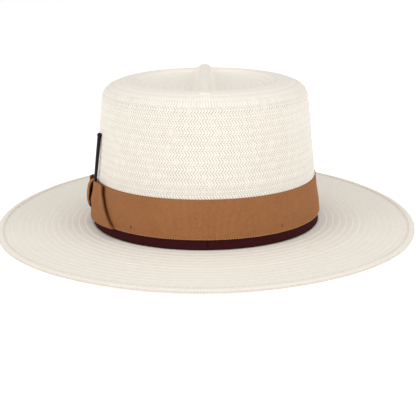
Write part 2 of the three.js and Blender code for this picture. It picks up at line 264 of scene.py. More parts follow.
class CrownFace(Face):
    """The crown from its seat over shoulder, rim and dent to the ridge, by distance along it."""

    SOFTNESS = 4.0

    def __init__(self, wall: float = 0.0) -> None:
        """Makes the outer face, or one that lies a wall inside it.

        Args:
            wall: How far it lies inside the outer one, in millimetres.
        """
        rows = np.array(CROWN_OVALS + DENT_OVALS)
        steps = np.hypot(np.diff(rows[:, 0]), np.diff(rows[:, 1]))
        places = np.concatenate([[0.0], np.cumsum(steps)])
        self.wall = wall
        self.length = float(places[-1])
        self.rim_place = float(places[len(CROWN_OVALS) - 1])
        self._places = places
        self._table = SmoothTable(places, rows, self.SOFTNESS)

    def place_of(self, height: float) -> float:
        """Distance along the face to a height on the crown's side."""
        heights = [oval.height for oval in CROWN_OVALS]
        return float(np.interp(height, heights, self._places[: len(heights)]))

    def points(self, across: Array, angles: Array) -> Array:
        """Points of the face, with the ridge.

        Args:
            across: Distances across the rows, in millimetres.
            angles: Angles in radians, one for each distance.

        Returns:
            Points in millimetres.
        """
        ovals = self._table.at(across)
        if self.wall:
            ovals = self._inside(ovals, across)
        ovals[..., 1] = np.maximum(ovals[..., 1], 0.0)
        points = oval_points(ovals, angles)
        points[..., 0] = self._beside_ridge(ovals[..., 1], across, angles)
        points[..., 2] += self._ridge_rise(points)
        return points

    def _inside(self, ovals: Array, across: Array) -> Array:
        """Ovals moved square to the face by the wall, and inwards on the ridge.

        Args:
            ovals: Ovals of the outer face.
            across: Distances across the rows, in millimetres.

        Returns:
            Ovals of the inner face.
        """
        slope = self._table.at(across + 0.2) - self._table.at(across - 0.2)
        length = np.maximum(np.hypot(slope[..., 0], slope[..., 1]), 1e-9)
        on_ridge = 1.0 - soft_step(ovals[..., 1], RIDGE_HALF_FOOT, 2 * RIDGE_HALF_FOOT)
        inner = grown(ovals, -self.wall * blend(slope[..., 0] / length, 1.0, on_ridge))
        inner[..., 0] += self.wall * slope[..., 1] / length
        return inner

    def _beside_ridge(self, half_width: Array, across: Array, angles: Array) -> Array:
        """Distances from the middle plane: in the dent the lines next to it follow the ridge.

        Args:
            half_width: Half widths of the ovals.
            across: Distances across the rows, in millimetres.
            angles: Angles in radians, one for each distance.

        Returns:
            Distances in millimetres, plus to the right.
        """
        cosine = np.cos(angles)
        steep = np.abs(cosine)
        foot_cosine, edge_cosine = np.cos(np.radians(RIDGE_LINES))
        foot = np.minimum(RIDGE_HALF_FOOT - self.wall, half_width)
        edge = np.minimum(RIDGE_HALF_EDGE - self.wall, half_width)
        beyond = blend(foot, half_width, (steep - foot_cosine) / (1.0 - foot_cosine))
        flank = blend(edge, foot, (steep - edge_cosine) / (foot_cosine - edge_cosine))
        lined = np.where(steep > edge_cosine, flank, edge * steep / edge_cosine)
        lined = np.where(steep > foot_cosine, beyond, lined)
        share = soft_step(across - self.rim_place, *RIDGE_LINES_FROM)
        return np.sign(cosine) * blend(half_width * steep, lined, share)

    def _ridge_rise(self, points: Array) -> Array:
        """Height that the ridge adds at points of the crown's top.

        Args:
            points: Points of the face without its ridge.

        Returns:
            Heights in millimetres.
        """
        along = points[..., 1] - CROWN_LEAN * (RIDGE_TOP - SEAT.height)
        reach = np.abs(along)
        level = RIDGE_TOP - self.wall - RIDGE_BACK_SLOPE * along
        fade = 1.0 - soft_step(reach, *RIDGE_FADE)
        inside = np.maximum(0.0, RIDGE_FADE[0] - reach)
        limit = RIDGE_OVER_RIM * fade + RIDGE_ENTRY_SLOPE * inside
        aside = np.abs(points[..., 0]) + self.wall
        across_ridge = 1.0 - soft_step(aside, RIDGE_HALF_TOP, RIDGE_HALF_FOOT)
        return np.maximum(0.0, np.minimum(level - points[..., 2], limit)) * across_ridge


class BrimFace(Face):
    """The brim's top or underside, by distance outwards from the crown."""

    def __init__(self, above: float, towards: float) -> None:
        """Makes the face that lies a height above the underside, and looks up for -1."""
        self.above = above
        self.towards = towards

    def points(self, across: Array, angles: Array) -> Array:
        """Points of the face: it rises to the crown and lifts a little at back and front.

        Args:
            across: Distances across the rows, in millimetres.
            angles: Angles in radians, one for each distance.

        Returns:
            Points in millimetres.
        """
        ovals = grown(np.broadcast_to(SEAT, (*np.shape(across), len(SEAT))), across)
        points = oval_points(ovals, angles)
        sine = np.sin(angles)
        end_lift = np.where(sine < 0, BRIM_BACK_LIFT, BRIM_FRONT_LIFT)
        lift = end_lift * soft_step(np.abs(sine), BRIM_LIFT_START, 1.0)
        outward = np.maximum(0.0, across) / (BRIM_WIDTH - BRIM_FLAT)
        sweep = np.maximum(0.0, 1.0 - outward) ** BRIM_SWEEP
        points[..., 2] = blend(lift, points[..., 2] - BRIM_WALL, sweep) + self.above
        return points


def under_band_inset(heights: Array) -> Array:
    """Distance from the crown's wall to the narrow ribbon's inner face."""
    return np.full(np.shape(heights), SEAT_GAP)


def hat_band_inset(heights: Array) -> Array:
    """Distance from the crown's wall to the wide ribbon's inner face.

    Args:
        heights: Heights on the crown.

    Returns:
        Distances in millimetres.
    """
    stepped = 2 * SEAT_GAP + RIBBON_WALL
    low, high = HAT_BAND_STEP
    return blend(stepped, SEAT_GAP, np.clip((heights - low) / (high - low), 0.0, 1.0))


def snug_inset(heights: Array) -> Array:
    """The same distance for the cloth itself, whose upper edge is drawn tight to the wall."""
    return hat_band_inset(heights) - 0.4 * soft_step(heights, 33.0, 39.0)


def hat_band_face(heights: Array) -> Array:
    """Distance from the crown's wall to the wide ribbon's outer face."""
    return hat_band_inset(heights) + RIBBON_WALL


class RibbonFace(Face):
    """A face of a ribbon round the crown, by height."""

    def __init__(self, inset: Any, outward: float) -> None:
        """Makes the face that lies a distance outwards from the ribbon's inset."""
        self.inset = inset
        self.outward = outward

    def points(self, across: Array, angles: Array) -> Array:
        """Points of the face."""
        return oval_points(grown(wall_ovals(across), self.inset(across) + self.outward), angles)


class Lap(Enum):
    """Which edge of a braid row lies on top of its neighbour."""

    START = "start"
    END = "end"


class RowLine(NamedTuple):
    """One mesh line of a woven row, by shares of the weave's sizes.

    part: place across the row. lift: share of the lap. strand: share of a strand's height.
    slant: share of a strand's slant. shade: how deep the line lies in shadow, drawn as painted
    shade. open:
    how open the gaps between strands are, which sinks them and paints shade in them. reach: share
    of how far the teeth of an edge stand out.
    """

    part: float = 0.0
    lift: float = 0.0
    strand: float = 0.0
    slant: float = 0.0
    shade: float = 0.0
    open: float = 0.0
    reach: float = 0.0


# Lines of a braid row. Its shade column paints shade along the lapped edge, and open paints shade
# in the gaps between strands.
ROW_LINES = (
    RowLine(0.00, 0.00, 0.5, 0.0, 0.36, 0.5),
    RowLine(0.08, 0.90, 0.8, 0.1, 0.0, 0.5),
    RowLine(0.28, 1.00, 1.0, 0.55, 0.0, 1.0),
    RowLine(0.50, 0.62, 0.6, 1.0, 0.04, 0.4),
    RowLine(0.73, 0.50, 1.0, 0.55, 0.0, 1.0),
    RowLine(0.93, 0.10, 0.7, 0.1, 0.04, 0.5),
)


@dataclass(frozen=True)
class Line:
    """One closed line of a woven mesh, round the hat.

    Attributes:
        face: The face it lies on.
        across: Its distance across the face, in millimetres.
        lift: Its height above the face, in millimetres, apart from its share of the lap.
        row: The row of the weave it belongs to, counted across the face.
        shape: Its shares of the weave's sizes.
    """

    face: Face
    across: float
    lift: float = 0.0
    row: int = 0
    shape: RowLine = RowLine()


@dataclass(frozen=True)
class Weave:
    """How strands stand up and repeat along a row, in millimetres.

    Attributes:
        pitch: From one strand to the next.
        height: Of a strand over the gap beside it.
        slant: How far a strand runs along the row between an edge and the middle.
        reach: How far the teeth of an edge stand out.
        vent: How deep an open gap goes.
        shadow: Share of the painted shade that the gaps and shaded lines show.
        lap: Step from one row down to the next.
        uneven: Share by which strands differ in height.
        strands_per_tooth: Strands that share one tooth of the edge.
    """

    pitch: float
    height: float
    slant: float = 0.0
    reach: float = 0.0
    vent: float = 0.0
    shadow: float = 1.0
    lap: float = 0.0
    uneven: float = 0.0
    strands_per_tooth: int = 1

    def columns_per_strand(self, round_it: float, columns: int) -> int:
        """The divisor of a line's columns, from 3 up, whose strands come nearest to the pitch."""
        fitting = [n for n in range(3, 25) if columns % (n * self.strands_per_tooth) == 0]
        return min(fitting, key=lambda n: abs(math.log(round_it * n / columns / self.pitch)))


def dome(steps: Array, width: int) -> Array:
    """0 at the first column of each width columns, and up to 1 between them."""
    phase = (steps % width) / width
    return 1.0 - np.abs(2.0 * phase - 1.0) ** 4


def peak(steps: Array, width: int) -> Array:
    """0 at the first column of each width columns, rising straight to 1 in their middle."""
    return 1.0 - np.abs(2.0 * (steps % width) / width - 1.0)


def braid_row(
    face: Face, start: float, pitch: float, row: int, lap: Lap, strength: float = 1.0
) -> list[Line]:
    """Lines of one braid row.

    Args:
        face: The face that the row lies on.
        start: Where the row starts across it, in millimetres.
        pitch: Width of the row.
        row: The row's number.
        lap: The edge that lies on top.
        strength: How strongly its strands show, and how much shade is painted in its gaps.

    Returns:
        The lines in the order in which they cross the face.
    """
    shapes = ROW_LINES
    if lap is Lap.END:
        shapes = [shape._replace(part=1.0 - shape.part) for shape in reversed(ROW_LINES)]
    lines = []
    for shape in shapes:
        woven = shape._replace(
            strand=strength * shape.strand,
            slant=strength**2 * shape.slant,
            open=strength * shape.open,
        )
        lines.append(Line(face, start + pitch * shape.part, 0.0, row, woven))
    return lines


def in_scene(name: str, data: bpy.types.ID) -> Piece:
    """A new object of a mesh, a light or a camera, in the scene.

    Args:
        name: The object's name.
        data: The mesh, light or camera.

    Returns:
        The object.
    """
    made = bpy.data.objects.new(name, data)
    bpy.context.scene.collection.objects.link(made)
    return made


def finish_mesh(name: str, shell: bmesh.types.BMesh) -> Piece:
    """Makes a smoothly shaded object of a bmesh.

    Args:
        name: The object's name.
        shell: The bmesh in metres, which is freed.

    Returns:
        The object, in the scene.
    """
    mesh = bpy.data.meshes.new(name)
    shell.to_mesh(mesh)
    shell.free()
    mesh.polygons.foreach_set("use_smooth", np.ones(len(mesh.polygons), bool))
    return in_scene(name, mesh)


def grid_shell(points: Array, uvs: Array, gaps: Array) -> bmesh.types.BMesh:
    """A grid that is laid over points, with its weave map and its gaps.

    Args:
        points: Rows and columns of points, in millimetres.
        uvs: Place of each point in the weave: strands along, rows across.
        gaps: How much painted shade each point gets, deep between strands and where it lies in
            shadow, from 0 to 1.

    Returns:
        The grid in metres, with points that coincide merged.
    """
    rows, columns = gaps.shape
    sheet = bmesh.new()
    bmesh.ops.create_grid(sheet, x_segments=columns - 1, y_segments=rows - 1, size=0.5)
    mesh = bpy.data.meshes.new("sheet")
    sheet.to_mesh(mesh)
    sheet.free()
    flat = np.empty(len(mesh.vertices) * 3)
    mesh.vertices.foreach_get("co", flat)
    flat = flat.reshape(-1, 3)[:, :2]
    low, high = flat.min(0), flat.max(0)
    places = np.rint((flat - low) / (high - low) * (columns - 1, rows - 1))
    column, row = places.astype(int).T
    mesh.vertices.foreach_set("co", (points[row, column] * MM).ravel())
    corners = np.empty(len(mesh.loops), np.int32)
    mesh.loops.foreach_get("vertex_index", corners)
    layer = mesh.uv_layers.new(name=UV_NAME)
    layer.data.foreach_set("uv", uvs[row[corners], column[corners]].ravel())
    gap = mesh.attributes.new(GAP_SHADE_NAME, "FLOAT", "POINT")
    gap.data.foreach_set("value", gaps[row, column].astype(np.float32))
    shell = bmesh.new()
    shell.from_mesh(mesh)
    bpy.data.meshes.remove(mesh)
    bmesh.ops.remove_doubles(shell, verts=shell.verts, dist=1e-7)
    return shell


def woven_piece(
    name: str, lines: Sequence[Line], columns: int, weave: Weave, seed: int
) -> Piece:
    """A closed body whose skin is woven round the hat.

    Args:
        name: The object's name.
        lines: Its lines in order round the body's section. A body that closes on itself has its
            first line again at the end, and one that closes on a middle line starts and ends
            there.
        columns: Number of mesh columns round the hat.
        weave: The strands' sizes.
        seed: Number that fixes how the strands differ.

    Returns:
        The object.
    """
    chance = np.random.default_rng(seed)
    uneven = 1.0 + weave.uneven * chance.standard_normal((MOST_ROWS, columns))
    steps = np.arange(columns + 1)
    turned = steps % columns
    base = 2.0 * math.pi * turned / columns
    widths: dict[tuple[int, int], int] = {}
    points, uvs, gaps = [], [], []
    for line in lines:
        ring = line.face.points(np.full(columns + 1, line.across), base)
        round_it = float(np.linalg.norm(np.diff(ring, axis=0), axis=1).sum())
        key = (id(line.face), line.row)
        width = widths.setdefault(key, weave.columns_per_strand(round_it, columns))
        crest = dome(turned, width)
        tooth = peak(turned, width * weave.strands_per_tooth)
        shape = line.shape
        angles = base + shape.slant * weave.slant * 2.0 * math.pi / round_it
        across = line.across + shape.reach * weave.reach * tooth
        each = uneven[line.row][turned // width]
        height = line.lift + weave.lap * shape.lift + weave.height * shape.strand * crest * each
        height = height - weave.vent * shape.open * (1.0 - crest)
        normals = line.face.normals(across, angles)
        points.append(line.face.points(across, angles) + normals * height[:, None])
        uvs.append(np.stack([steps / width, np.full(columns + 1, line.row + shape.part)], -1))
        # Painted shade: the line's own shadow, plus more in the gaps between strands
        dim = shape.shade + shape.open * (1.0 - crest) * each
        gaps.append(np.clip(weave.shadow * dim, 0.0, 1.0))
    shell = grid_shell(np.array(points), np.array(uvs), np.array(gaps))
    bmesh.ops.recalc_face_normals(shell, faces=shell.faces)
    return finish_mesh(name, shell)


# Materials

RELIEF_DEPTH = 0.0001
Socket = bpy.types.NodeSocket


def linear(hex_colour: str) -> tuple[float, float, float, float]:
    """An sRGB hex colour as linear red, green, blue and alpha.

    Args:
        hex_colour: The colour as #rrggbb.

    Returns:
        The four numbers from 0 to 1.
    """
    parts = [int(hex_colour[i : i + 2], 16) / 255.0 for i in (1, 3, 5)]
    turned = [p / 12.92 if p <= 0.04045 else ((p + 0.055) / 1.055) ** 2.4 for p in parts]
    return (*turned, 1.0)


def add_node(
    tree: bpy.types.NodeTree, kind: str, inputs: dict[Any, Any], **settings: Any
) -> bpy.types.Node:
    """Adds a node with its settings and links.

    Args:
        tree: The material's node tree.
        kind: The node's type, without the ShaderNode in front.
        inputs: For each input, by name or number, a socket to link or a value to set.
        settings: Properties of the node.

    Returns:
        The node.
    """
    node = tree.nodes.new(f"ShaderNode{kind}")
    for name, value in settings.items():
        setattr(node, name, value)
    for place, value in inputs.items():
        socket = node.inputs[place]
        if isinstance(value, Socket):
            tree.links.new(value, socket)
        else:
            socket.default_value = value
    return node


class MaterialTree:
    """One material's node tree, and the nodes that the hat's materials share."""

    def __init__(self, name: str) -> None:
        """Makes the material with an empty tree.

        Args:
            name: The material's name.
        """
        self.made = bpy.data.materials.new(name)
        self.made.use_nodes = True
        self.made.node_tree.nodes.clear()

    def socket(
        self, kind: str, inputs: dict[Any, Any], output: int | str = 0, **settings: Any
    ) -> Socket:
        """Adds a node as add_node does, and gives one of its outputs."""
        return add_node(self.made.node_tree, kind, inputs, **settings).outputs[output]

    def place(self) -> Socket:
        """The point in the object's own coordinates."""
        return self.socket("TexCoord", {}, "Object")

    def weave(self, scale: tuple[float, float, float]) -> Socket:
        """The point's place in the weave, strands along and rows across, times a scale."""
        return self.socket("Mapping", {0: self.socket("UVMap", {}, uv_map=UV_NAME), "Scale": scale})

    def gap(self) -> Socket:
        """How much painted shade the point gets, deep between strands and where it lies in shadow.
        """
        return self.socket("Attribute", {}, "Fac", attribute_name=GAP_SHADE_NAME)

    def chance(self, cells: Socket) -> Socket:
        """A random share for each whole step of its input."""
        cell = self.socket("VectorMath", {0: cells}, operation="FLOOR")
        return self.socket("TexWhiteNoise", {"Vector": cell}, "Value", noise_dimensions="3D")

    def noise(self, place: Socket, scale: float, detail: float = 2.0) -> Socket:
        """Smooth noise with a number of waves for each metre."""
        return self.socket("TexNoise", {"Vector": place, "Scale": scale, "Detail": detail})

    def mapped(self, value: Socket, low: float, high: float, start: float, end: float) -> Socket:
        """The value moved from the range low to high to the range start to end."""
        ends = {"From Min": low, "From Max": high, "To Min": start, "To Max": end}
        return self.socket("MapRange", {"Value": value, **ends})

    def maths(self, operation: str, first: Socket, second: Any) -> Socket:
        """The result of an operation, kept between 0 and 1."""
        return self.socket("Math", {0: first, 1: second}, operation=operation, use_clamp=True)

    def mix(self, share: Socket, first: Any, second: Any) -> Socket:
        """The colour a share of the way from the first to the second."""
        return self.socket("Mix", {0: share, 6: first, 7: second}, 2, data_type="RGBA")

    def surface(
        self, colour: Any, roughness: float, gloss: float,
        relief: Socket | None = None, strength: float = 0.0, more: dict[str, Any] | None = None,
    ) -> bpy.types.Material:
        """Ends the tree with its surface.

        Args:
            colour: The surface's colour, or a socket.
            roughness: How matt it is.
            gloss: How much light it mirrors.
            relief: Heights of its fine relief, if it has one.
            strength: How strongly that shows.
            more: Other inputs of the shader.

        Returns:
            The material.
        """
        inputs = {"Base Color": colour, "Roughness": roughness, "Specular IOR Level": gloss}
        if relief is not None:
            bump = {"Strength": strength, "Distance": RELIEF_DEPTH, "Height": relief}
            inputs["Normal"] = self.socket("Bump", bump)
        shader = self.socket("BsdfPrincipled", {**inputs, **(more or {})})
        add_node(self.made.node_tree, "OutputMaterial", {"Surface": shader})
        return self.made


@dataclass(frozen=True)
class BraidedStraw:
    """Paper straw, plaited to a flat braid and sewn in rows: matt cream strands, painted shade
    between them.

    Attributes:
        strand: Colour of a strand.
        aged: Colour towards which single strands and patches tend.
        dim: Colour of the painted shade deep between strands.
        fibre_scale: Fibres of a strand for each metre, drawn coarser than the real 0.1 mm.
    """

    strand: str = "#f5efe5"
    aged: str = "#dccdb4"
    dim: str = "#97876f"
    fibre_scale: float = 2200.0

    def material(self) -> bpy.types.Material:
        """The material of braided straw.

        Returns:
            The material.
        """
        tree = MaterialTree("paper_straw_braid")
        tone = tree.mapped(tree.chance(tree.weave((1.0, 2.0, 1.0))), 0.0, 1.0, 0.945, 1.0)
        patch = tree.mapped(tree.noise(tree.place(), 22.0, 3.0), 0.3, 0.7, 0.97, 1.0)
        share = tree.maths("MULTIPLY", tone, patch)
        toned = tree.mix(share, linear(self.aged), linear(self.strand))
        # Painted shade: the gap attribute darkens the strands' colour towards the dim colour
        colour = tree.mix(tree.maths("POWER", tree.gap(), 1.4), toned, linear(self.dim))
        return tree.surface(colour, 0.62, 0.3, tree.noise(tree.place(), self.fibre_scale), 0.35)


@dataclass(frozen=True)
class GrosgrainRibbon:
    """Grosgrain: a ribbed woven ribbon, lit softly on its ribs, with painted shade between them.

    Attributes:
        name: The material's name.
        rib: Colour on a rib.
        dim: Colour of the painted shade between ribs.
        sheen: How much light the yarn's fuzz returns.
        gloss: How much light its surface mirrors.
    """

    name: str
    rib: str
    dim: str
    sheen: float
    gloss: float

    def material(self) -> bpy.types.Material:
        """The material of this ribbon.

        Returns:
            The material.
        """
        tree = MaterialTree(self.name)
        yarn = tree.chance(tree.weave((1.0, 40.0, 1.0)))
        uneven = tree.maths("MULTIPLY", yarn, tree.noise(tree.place(), 60.0, 4.0))
        # Painted shade between the ribs, from the gap attribute, plus a random tone of the yarn
        painted_shade_and_tone = tree.maths("ADD", tree.gap(), tree.mapped(uneven, 0.0, 0.7, 0.0, 0.35))
        colour = tree.mix(painted_shade_and_tone, linear(self.rib), linear(self.dim))
        fuzz = {"Sheen Weight": self.sheen, "Sheen Roughness": 0.45, "Sheen Tint": linear(self.rib)}
        return tree.surface(colour, 0.72, self.gloss, uneven, 0.4, fuzz)


@dataclass(frozen=True)
class StainedWood:
    """Turned beech, stained black and waxed: near black, with a narrow soft highlight."""

    wood: str = "#0c0a09"
    grain: str = "#18130f"

    def material(self) -> bpy.types.Material:
        """The material of stained wood, with its grain along the stick.

        Returns:
            The material.
        """
        tree = MaterialTree("black_stained_beech")
        along_grain = tree.socket("Mapping", {"Vector": tree.place(), "Scale": (1.0, 1.0, 0.06)})
        grain = tree.noise(along_grain, 2600.0, 3.0)
        colour = tree.mix(grain, linear(self.wood), linear(self.grain))
        return tree.surface(colour, 0.34, 0.22, grain, 0.25)


@dataclass(frozen=True)
class CottonThread:
    """Sewing cotton: a matt twisted thread."""

    name: str
    colour: str
    dimming: float = 0.75

    def material(self) -> bpy.types.Material:
        """The material of this thread.

        Returns:
            The material.
        """
        tree = MaterialTree(self.name)
        base = linear(self.colour)
        dim = (*(self.dimming * part for part in base[:3]), 1.0)
        return tree.surface(tree.mix(tree.noise(tree.place(), 3000.0), base, dim), 0.8, 0.1)


class Finishes:
    """The hat's materials, each made once."""

    def __init__(self) -> None:
        """Makes every material."""
        # The second colour of each ribbon is painted shade between its ribs
        camel = GrosgrainRibbon("camel_grosgrain", "#ab7347", "#744725", 0.1, 0.2)
        burgundy = GrosgrainRibbon("burgundy_grosgrain", "#421317", "#22090c", 0.0, 0.08)
        self.straw = BraidedStraw().material()
        self.camel = camel.material()
        self.burgundy = burgundy.material()
        self.wood = StainedWood().material()
        self.ecru = CottonThread("ecru_cotton", "#ece2d0").material()
        # Camel yarn for the picots, coloured lighter than the ribbon as a painted highlight on the
        # loops
        self.picot = CottonThread("camel_yarn_painted_highlight", "#d6a071").material()
        self.brown = CottonThread("brown_cotton", "#5a3218").material()
        self.maroon = CottonThread("maroon_cotton", "#1c080b").material()


def dress(piece: Piece, material: bpy.types.Material, slot: str, *nodes: str) -> None:
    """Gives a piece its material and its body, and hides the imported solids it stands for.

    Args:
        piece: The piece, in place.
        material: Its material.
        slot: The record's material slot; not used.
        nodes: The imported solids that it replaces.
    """
    piece.data.materials.append(material)
    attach(piece, BODY)
    if nodes:
        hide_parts(*nodes)
    LOG.info("%s: %d faces", piece.name, len(piece.data.polygons))


@dataclass
class Crown:
    """The crown's side and tip, woven in rows from the ribbon up to the ridge."""

    side_columns: int = 960
    tip_columns: int = 720
    weave: Weave = Weave(pitch=2.1, height=0.16, slant=2.2, vent=0.28, lap=0.14, uneven=0.15)
    tip_strengths: tuple[float, ...] = (1.0, 0.6, 0.3, 0.12)
    hidden_lines: tuple[float, ...] = (15.0, 30.0)
    hidden_rows: int = 1
    side_lining: tuple[float, ...] = (80.0, 60.7, 42.0, 20.0)
    tip_lining_lines: int = 16

    def __post_init__(self) -> None:
        """Finds where the rows of the side and of the tip start."""
        self.outside = CrownFace()
        self.inside = CrownFace(STRAW_WALL)
        self.row_start = self.outside.place_of(CROWN_ROW_START)
        self.tip_start = self.row_start + CROWN_SIDE_ROWS * ROW_PITCH

    def side(self) -> Piece:
        """The sleeve from the brim up to the tip.

        Returns:
            The object.
        """
        seat = self.outside.place_of(SEAT.height + SEAT_GAP)
        lines = [Line(self.outside, seat)]
        lines += [Line(self.outside, self.outside.place_of(height)) for height in self.hidden_lines]
        for row in range(-self.hidden_rows, CROWN_SIDE_ROWS):
            start = self.row_start + row * ROW_PITCH
            lines += braid_row(self.outside, start, ROW_PITCH, row, Lap.START)
        top = self.tip_start
        lines += [Line(self.outside, top - JOIN_STRIP, row=CROWN_SIDE_ROWS)]
        lines += [Line(self.outside, top, row=CROWN_SIDE_ROWS)]
        lines += [Line(self.inside, top)]
        lines += [Line(self.inside, self.inside.place_of(height)) for height in self.side_lining]
        lines += [Line(self.inside, seat), lines[0]]
        return woven_piece("crown_side_braid", lines, self.side_columns, self.weave, 3)

    def tip(self) -> Piece:
        """The top from the shoulder over the rim and through the dent to the ridge.

        Returns:
            The object.
        """
        length = self.outside.length
        rows = round((length - self.tip_start) / ROW_PITCH)
        pitch = (length - self.tip_start) / rows
        lines = []
        for row in range(rows):
            start = self.tip_start + row * pitch
            strength = self.tip_strengths[min(row, len(self.tip_strengths) - 1)]
            lines += braid_row(self.outside, start, pitch, row, Lap.START, strength)
        lines += [Line(self.outside, length, row=rows)]
        lining = [
            Line(self.inside, place)
            for place in np.linspace(self.tip_start, length, self.tip_lining_lines)
        ]
        return woven_piece("crown_tip_braid", lines[::-1] + lining, self.tip_columns, self.weave, 5)

    def build(self, finishes: Finishes) -> None:
        """Makes both pieces and dresses them."""
        dress(self.side(), finishes.straw, "straw", "crown_side")
        dress(self.tip(), finishes.straw, "straw", "crown_tip")


# Lines of the hem: from its start outwards, height above the underside, and how it is woven, with
# painted shade on the hem's outer edge
HEM_LINES = (
    (0.0, 1.9, RowLine(0.0, 0.0, 0.8, 0.3, 0.4, 0.4)),
    (0.3, 2.25, RowLine(0.05, 0.0, 0.8, 0.3, 0.0, 0.4)),
    (1.5, 2.4, RowLine(0.3, 0.0, 0.8, 0.3, 0.0, 0.4)),
    (2.7, 2.28, RowLine(0.5, 0.0, 0.8, 0.8, 0.0, 0.4)),
    (4.2, 2.38, RowLine(0.75, 0.0, 0.8, 0.3, 0.0, 0.4)),
    (5.0, 2.1, RowLine(0.9, 0.0, 0.8, 0.3, 0.5, 0.4)),
    (5.5, 1.6, RowLine(1.0, 0.0, 0.5, 0.3, 1.3, 0.4)),
    (5.5, 0.8, RowLine(1.0, 0.0, 0.5, 0.3, 1.8, 0.4)),
    (5.0, 0.2, RowLine(1.0, 0.0, 0.0, 0.3, 1.8, 0.4)),
)


@dataclass
class Brim:
    """The brim in two rings of braid rows, an inner one and an outer one with the hem."""

    inner_columns: int = 1224
    outer_columns: int = 1440
    weave: Weave = Weave(pitch=1.8, height=0.06, slant=1.6, shadow=0.3, lap=0.2, uneven=0.2)
    plain_run: float = 0.6
    hem_return: float = 1.5
    underside_lines: tuple[tuple[float, float], ...] = ((0.97, -0.1), (0.9, -0.4))
    stitch_place: float = 1.3
    stitch_rise: float = 0.1
    stitch_pitch: float = 4.0
    stitch_length: float = 3.0
    stitch_radius: float = 0.28

    def __post_init__(self) -> None:
        """Makes the brim's two faces, and finds where the two rings join and the hem starts."""
        self.top = BrimFace(BRIM_WALL - self.weave.lap, -1.0)
        self.underside = BrimFace(0.0, 1.0)
        self.join = BRIM_ROW_START + BRIM_INNER_ROWS * ROW_PITCH
        self.hem = BRIM_WIDTH - BRIM_HEM_WIDTH

    def rows(self, first: int, end: int) -> list[Line]:
        """Lines of the rows on top, from one row to the start of another.

        Args:
            first: The first row's number.
            end: The number after the last one.

        Returns:
            The lines, outwards.
        """
        lines = []
        for row in range(first, end):
            start = BRIM_ROW_START + row * ROW_PITCH
            lines += braid_row(self.top, start, ROW_PITCH, row, Lap.END)
        return lines

    def underside_rows(self, first: int, end: int) -> list[Line]:
        """Lines of the same rows below, in the opposite order.

        Args:
            first: The first row's number.
            end: The number after the last one.

        Returns:
            The lines, inwards.
        """
        lines = []
        for row in reversed(range(first, end)):
            start = BRIM_ROW_START + row * ROW_PITCH
            for part, lift in self.underside_lines:
                # The underside gets a light painted shade, and more in its gaps
                shape = RowLine(part, strand=0.5, shade=0.2, open=0.4)
                lines.append(Line(self.underside, start + part * ROW_PITCH, lift, row, shape))
        return lines

    def inner(self) -> Piece:
        """The ring of rows next to the crown.

        Returns:
            The object.
        """
        lap = self.weave.lap
        last = BRIM_INNER_ROWS - 1
        opening = Line(self.top, -STRAW_WALL, lap)
        lines = [opening, Line(self.top, BRIM_ROW_START - self.plain_run, lap)]
        lines += self.rows(0, BRIM_INNER_ROWS)
        lines[-1] = Line(self.top, self.join - JOIN_STRIP, row=last)
        lines += [Line(face, self.join, row=last) for face in (self.top, self.underside)]
        lines += self.underside_rows(0, BRIM_INNER_ROWS)
        lines += [Line(self.underside, -STRAW_WALL), opening]
        return woven_piece("brim_inner_braid", lines, self.inner_columns, self.weave, 7)

    def outer(self) -> Piece:
        """The ring of rows from there to the edge, with the hem.

        Returns:
            The object.
        """
        first = BRIM_INNER_ROWS
        lines = [Line(face, self.join, row=first) for face in (self.underside, self.top)]
        lines += [Line(self.top, self.join + JOIN_STRIP, row=first)]
        lines += self.rows(first, BRIM_ROWS)[1:]
        for outward, height, shape in HEM_LINES:
            lift = height - self.top.above
            lines.append(Line(self.top, self.hem + outward, lift, BRIM_ROWS, shape))
        for place in (BRIM_WIDTH - self.hem_return, self.hem):
            lines.append(Line(self.underside, place, row=BRIM_ROWS))
        lines += self.underside_rows(first, BRIM_ROWS)
        return woven_piece(
            "brim_outer_braid", [*lines, lines[0]], self.outer_columns, self.weave, 9
        )

    def hem_stitches(self) -> Piece:
        """The line of stitches that holds the hem.

        Returns:
            The object.
        """
        place = self.hem + self.stitch_place
        face = BrimFace(BRIM_HEM + self.stitch_rise, -1.0)
        centres = even_points(face, place, self.stitch_pitch)
        tips = even_points(face, place, self.stitch_pitch, self.stitch_length / 2)
        return stitches("hem_stitches", centres, tips - centres, self.stitch_radius)

    def build(self, finishes: Finishes) -> None:
        """Makes both rings and the stitches, and dresses them.

        Args:
            finishes: The hat's materials.
        """
        dress(self.inner(), finishes.straw, "straw", "brim")
        dress(self.outer(), finishes.straw, "straw", "brim")
        dress(self.hem_stitches(), finishes.ecru, "straw")


def even_points(face: Face, place: float, pitch: float, shift: float = 0.0) -> Array:
    """Points that are spaced evenly along a line round a face.

    Args:
        face: The face.
        place: The line's distance across it.
        pitch: From one point to the next, rounded so that a whole number fits.
        shift: Length by which all of them are moved along the line.

    Returns:
        The points in millimetres.
    """
    dense = np.linspace(0.0, 2.0 * math.pi + 0.1, 4001)
    points = face.points(np.full(dense.shape, place), dense)
    run = np.concatenate([[0.0], np.cumsum(np.linalg.norm(np.diff(points, axis=0), axis=1))])
    length = float(np.interp(2.0 * math.pi, dense, run))
    count = round(length / pitch)
    angles = np.interp(np.arange(count) * length / count + shift, run, dense)
    return face.points(np.full(count, place), angles)


def along(start: Vector, run: Vector) -> Matrix:
    """Moves what stands on the origin to start, in millimetres, and leans it along a run."""
    return Matrix.Translation(start * MM) @ run.to_track_quat("Z", "Y").to_matrix().to_4x4()


